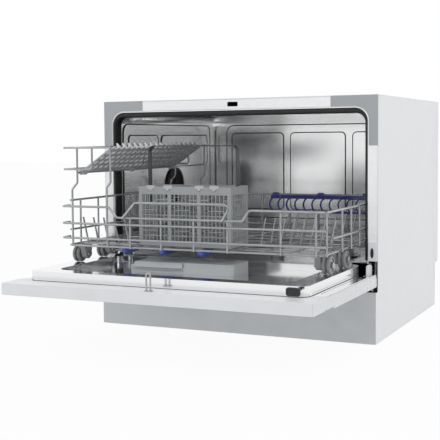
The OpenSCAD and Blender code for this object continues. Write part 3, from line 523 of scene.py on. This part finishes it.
def shelf_spikes():
    """Fins along the high edge that stop glasses, and rows of teeth between the slots."""
    parts = Parts()
    for i in range(16):
        y = -147 + i * TOOTH_PITCH
        fin = ((y - 6.5, 1), (y + 6.5, 1), (y, 12.5))
        parts.sweep([[on_shelf(u, *corner) for corner in fin] for u in SHELF_EDGE])
    for i in range(17):
        y = -168 + i * TOOTH_PITCH
        tooth = ((y - 7, 1.1), (y + 7, 1.1), (y + 1.2, 5.6), (y - 1.2, 5.6))
        for row in TOOTH_ROWS:
            parts.sweep([[on_shelf(u, *corner) for corner in tooth] for u in (row - 1, row + 1)])
    rounded_edges(piece("shelf_fins", parts, "fin_grey", "cup_shelf"), 0.3, 1)


RECESS_X, RECESS_Z = 264.25, 161.5
RECESS_RX, RECESS_RZ = 2.9, 9
RECESS_Y = (-1.3, -0.75)


def hinge_hole_shade():
    """Dark discs in the hinge covers' recesses: painted shade of the holes."""
    parts = Parts()
    turns = [2 * math.pi * k / 20 for k in range(20)]
    for side in (-1, 1):
        parts.sweep([[(side * (RECESS_X + RECESS_RX * math.cos(a)), y, RECESS_Z + RECESS_RZ * math.sin(a))
                      for a in turns] for y in RECESS_Y])
    piece("hinge_hole_shade_discs", parts, "dark_plastic", "cabinet")


FLANGE_X, FLANGE_Z = 257, (125.9, 126.12)


def flange_slot_shade():
    """Dark marks for the pressed slots along the door liner's side flanges: painted shade of the slots."""
    parts = Parts()
    for x in (-FLANGE_X, FLANGE_X):
        for y in range(-250, -67, 13):
            parts.block((x - 0.9, y - 3, FLANGE_Z[0]), (x + 0.9, y + 3, FLANGE_Z[1]))
    piece("flange_slot_shade", parts, "dark_plastic", "door")


def ring(parts, low, high, radius, bead, place):
    """Thin round bead along a rounded rectangle from low to high, set in its plane by place(u, v, w)."""
    corners = ((high[0] - radius, high[1] - radius, 0), (low[0] + radius, high[1] - radius, 90),
               (low[0] + radius, low[1] + radius, 180), (high[0] - radius, low[1] + radius, 270))
    line = []
    for cu, cv, start in corners:
        for k in range(9):
            a = math.radians(start + 90 * k / 8)
            line.append((cu + radius * math.cos(a), cv + radius * math.sin(a), math.cos(a), math.sin(a)))
    sides = 8
    turns = [2 * math.pi * k / sides for k in range(sides)]
    places = [place(u + nu * bead * math.cos(t), v + nv * bead * math.cos(t), bead * math.sin(t))
              for u, v, nu, nv in line for t in turns]
    faces = []
    for i in range(len(line)):
        for k in range(sides):
            a, b = i * sides, (i + 1) % len(line) * sides
            faces.append((a + k, a + (k + 1) % sides, b + (k + 1) % sides, b + k))
    parts.take(places, faces)


LINER_LOW, LINER_HIGH, LINER_R = (-250.2, -300.2), (250.2, -19.8), 16
LINER_Z = 126.3


def liner_gap_shade():
    """Dark bead where the raised liner meets the door: painted shade of the gap at the liner's foot."""
    parts = Parts()
    ring(parts, LINER_LOW, LINER_HIGH, LINER_R, 0.5, lambda u, v, w: (u, v, LINER_Z + w))
    smooth(piece("liner_gap_shade", parts, "dark_plastic", "door"))


TUB_HW, TUB_BACK = 256, 466
FIELD_Z, FIELD_R, FIELD_RISE = (180, 394), 18, 0.9
WINDOW_R, WINDOW_RISE = 10, 2.0
BACK_FIELD = 218
BACK_WINDOWS, BACK_WINDOW_Z = ((-204, -75), (-58, 72), (89, 204)), (200, 376)
SIDE_FIELD = (40, 449)
SIDE_WINDOWS, SIDE_WINDOW_Z = ((60, 186), (202, 431)), (304, 372)
# radius of the dark beads that paint the shade on the pressed panels' edges
PRESS_SHADE_BEAD = 1.25


def press_shade_lines():
    """Near-black beads along the steep edges of the panels pressed into the tub's walls: painted shade
    where their slopes look dark.
    """
    parts = Parts()

    def panel(across, up, radius, place):
        ring(parts, (across[0], up[0]), (across[1], up[1]), radius, PRESS_SHADE_BEAD, place)

    def on_back(rise):
        return lambda u, v, w: (u, TUB_BACK - rise + w, v)

    def on_side(side, rise):
        return lambda u, v, w: (side * (TUB_HW - rise + w), u, v)

    panel((-BACK_FIELD, BACK_FIELD), FIELD_Z, FIELD_R, on_back(FIELD_RISE))
    for window in BACK_WINDOWS:
        panel(window, BACK_WINDOW_Z, WINDOW_R, on_back(WINDOW_RISE))
    for side in (-1, 1):
        panel(SIDE_FIELD, FIELD_Z, FIELD_R, on_side(side, FIELD_RISE))
        for window in SIDE_WINDOWS:
            panel(window, SIDE_WINDOW_Z, WINDOW_R, on_side(side, WINDOW_RISE))
    smooth(piece("tub_press_shade_lines", parts, "press_shade_steel", "cabinet"))


SUPPORT_XS = (-141, -66, 9)
SUPPORT_HULL = (  # place along y, half width and depth
    (-167, 1.5, 3), (-165.5, 3.6, 6), (-162, 5.4, 9), (-156, 6.6, 10.6), (-146, 7, 10.8), (-120, 7, 10.6),
    (-108, 6.8, 9), (-104, 5.8, 7))


def blue_supports():
    """Soft supports under the front of the rack's floor: rounded boats with blunt tips."""
    parts = Parts()
    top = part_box("floor_supports")[1].z / MM
    for x in SUPPORT_XS:
        sections = []
        for y, half, deep in SUPPORT_HULL:
            brim, bilge, keel = top - 1.4, top - deep * 0.6, top - deep
            outline = ((-1, brim), (-1, bilge), (-0.6, keel + 0.5), (0, keel), (0.6, keel + 0.5),
                       (1, bilge), (1, brim), (0.7, top), (-0.7, top))
            sections.append([(x + half * share, y, z) for share, z in outline])
        parts.sweep(sections)
    smooth(piece("blue_supports", parts, "bright_blue", "rack", ["floor_supports"]))


tub_seal()
cutlery_basket()
shelf_spikes()
hinge_hole_shade()
flange_slot_shade()
liner_gap_shade()
press_shade_lines()
blue_supports()

# ---------------------------------------------------------------- floor, world and lamps


FLOOR_REACH = 12
FLOOR_GLOW = 0.95  # the floor's share of plain white, to the camera and in reflections
WORLD_LIGHT = 0.88
DARK_SIDE = (0.4376, -0.899, 0.0)  # in reflections, the studio is dark round this direction
DARK_EDGE = {"From Min": 0.74, "From Max": 0.95, "To Min": 1.0, "To Max": 0.02}


def make_floor():
    """A pale floor that keeps the object's shadow and is white to the camera where it is lit."""
    mesh = bpy.data.meshes.new("floor")
    r = FLOOR_REACH
    mesh.from_pydata([(-r, -r, 0), (r, -r, 0), (r, r, 0), (-r, r, 0)], [], [(0, 1, 2, 3)])
    floor = bpy.data.objects.new("floor", mesh)
    scene.collection.objects.link(floor)
    s = Shader("floor", (0.7, 0.7, 0.7), 0.9)
    s.vary_color(s.grain(2), 0.004)
    glow = s.add("ShaderNodeEmission", Color=(1, 1, 1, 1), Strength=1.0)
    path = s.tree.nodes.new("ShaderNodeLightPath")
    shown = s.add("ShaderNodeMath", Value=path.outputs["Is Camera Ray"])
    shown.operation = "MAXIMUM"
    s.tree.links.new(path.outputs["Is Glossy Ray"], shown.inputs[1])
    share = s.add("ShaderNodeMath", Value=shown.outputs["Value"])
    share.operation = "MULTIPLY"
    share.inputs[1].default_value = FLOOR_GLOW
    mix = s.add("ShaderNodeMixShader")
    s.tree.links.new(share.outputs["Value"], mix.inputs["Fac"])
    s.tree.links.new(s.bsdf.outputs["BSDF"], mix.inputs[1])
    s.tree.links.new(glow.outputs["Emission"], mix.inputs[2])
    s.tree.links.new(mix.outputs["Shader"], s.tree.nodes["Material Output"].inputs["Surface"])
    floor.data.materials.append(s.material)


def make_world():
    """Plain light, white to the camera, and in reflections white with one dark side of the studio."""
    world = bpy.data.worlds.new("studio")
    world.use_nodes = True
    tree = world.node_tree
    scene.world = world

    def link(source, target):
        tree.links.new(source, target)

    def background(color, strength):
        node = tree.nodes.new("ShaderNodeBackground")
        node.inputs["Color"].default_value = (*color, 1)
        node.inputs["Strength"].default_value = strength
        return node

    light = background((0.97, 0.98, 1), WORLD_LIGHT)
    seen = background((1, 1, 1), 1.0)
    glossy = background((1, 1, 1), 1.0)
    where = tree.nodes.new("ShaderNodeTexCoord")
    facing = tree.nodes.new("ShaderNodeVectorMath")
    facing.operation = "DOT_PRODUCT"
    link(where.outputs["Generated"], facing.inputs[0])
    facing.inputs[1].default_value = DARK_SIDE
    level = tree.nodes.new("ShaderNodeMapRange")
    level.interpolation_type = "SMOOTHSTEP"
    for socket, value in DARK_EDGE.items():
        level.inputs[socket].default_value = value
    link(facing.outputs["Value"], level.inputs["Value"])
    link(level.outputs["Result"], glossy.inputs["Strength"])
    path = tree.nodes.new("ShaderNodeLightPath")
    shiny = tree.nodes.new("ShaderNodeMixShader")
    mix = tree.nodes.new("ShaderNodeMixShader")
    link(path.outputs["Is Glossy Ray"], shiny.inputs["Fac"])
    link(light.outputs["Background"], shiny.inputs[1])
    link(glossy.outputs["Background"], shiny.inputs[2])
    link(path.outputs["Is Camera Ray"], mix.inputs["Fac"])
    link(shiny.outputs["Shader"], mix.inputs[1])
    link(seen.outputs["Background"], mix.inputs[2])
    link(mix.outputs["Shader"], tree.nodes["World Output"].inputs["Surface"])


def make_lamp(name, place, target, size, power):
    data = bpy.data.lights.new(name, "AREA")
    data.shape = "RECTANGLE"
    data.size, data.size_y = size
    data.energy = power
    lamp = bpy.data.objects.new(name, data)
    lamp.location = place
    lamp.rotation_mode = "QUATERNION"
    lamp.rotation_quaternion = (Vector(target) - Vector(place)).to_track_quat("-Z", "Y")
    scene.collection.objects.link(lamp)


make_floor()
make_world()
make_lamp("key", (1.2, -2.2, 2.4), (0, 0, 0.2), (1.6, 1.2), 14)
make_lamp("fill", (-2.4, -2.0, 1.4), (0, -0.1, 0.2), (1.6, 1.2), 9)
make_lamp("side", (2.8, 0.6, 1.6), (0.2, 0.1, 0.3), (1.2, 1.2), 5)

scene.view_settings.view_transform = "Standard"
